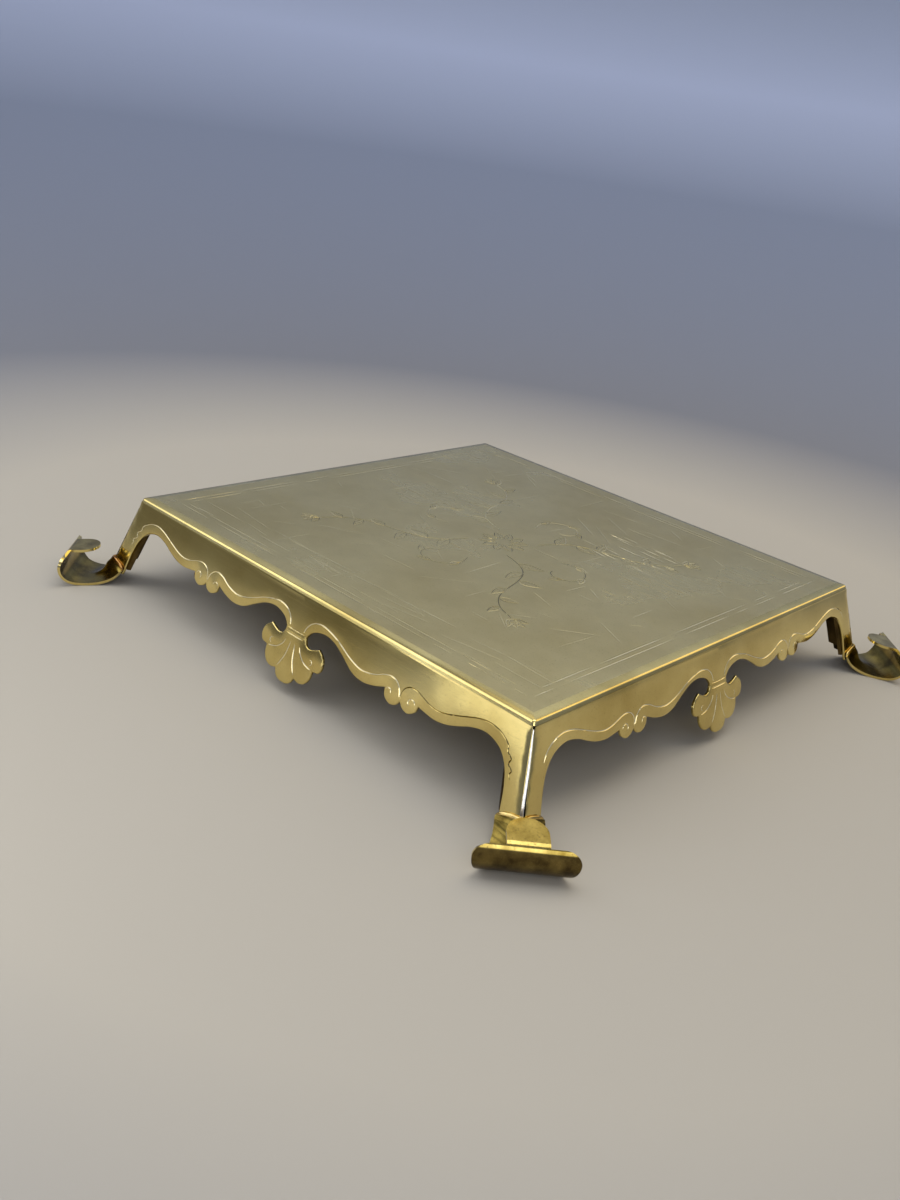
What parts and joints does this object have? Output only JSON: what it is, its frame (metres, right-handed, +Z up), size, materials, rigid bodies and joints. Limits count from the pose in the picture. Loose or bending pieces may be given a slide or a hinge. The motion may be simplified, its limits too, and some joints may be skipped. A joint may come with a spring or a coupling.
{
  "type": "trivet",
  "caption": "Square brass trivet: flat engraved top on sloped cut-out panels with shell pendants, standing on scrolled strip feet at the corners.",
  "frame": {"origin": "middle of the trivet, on the table it stands on", "axes": "+Z up from the table; the four panels face -Y (front), +X (right), +Y (back) and -X (left)"},
  "size_m": [0.3006, 0.3006, 0.041],
  "materials": {
    "brass_top": "satin, worn, engraved",
    "brass_panel": "polished",
    "brass_strip": "polished",
    "brass_foot": "polished, slightly tarnished"
  },
  "bodies": {
    "root": {"top_plate": "brass_top", "apron_front": "brass_panel", "apron_right": "brass_panel", "apron_back": "brass_panel", "apron_left": "brass_panel", "corner_strip_front_left": "brass_strip", "corner_strip_front_right": "brass_strip", "corner_strip_back_right": "brass_strip", "corner_strip_back_left": "brass_strip", "foot_front_left": "brass_foot", "foot_front_right": "brass_foot", "foot_back_right": "brass_foot", "foot_back_left": "brass_foot"}
  },
  "joints": []
}
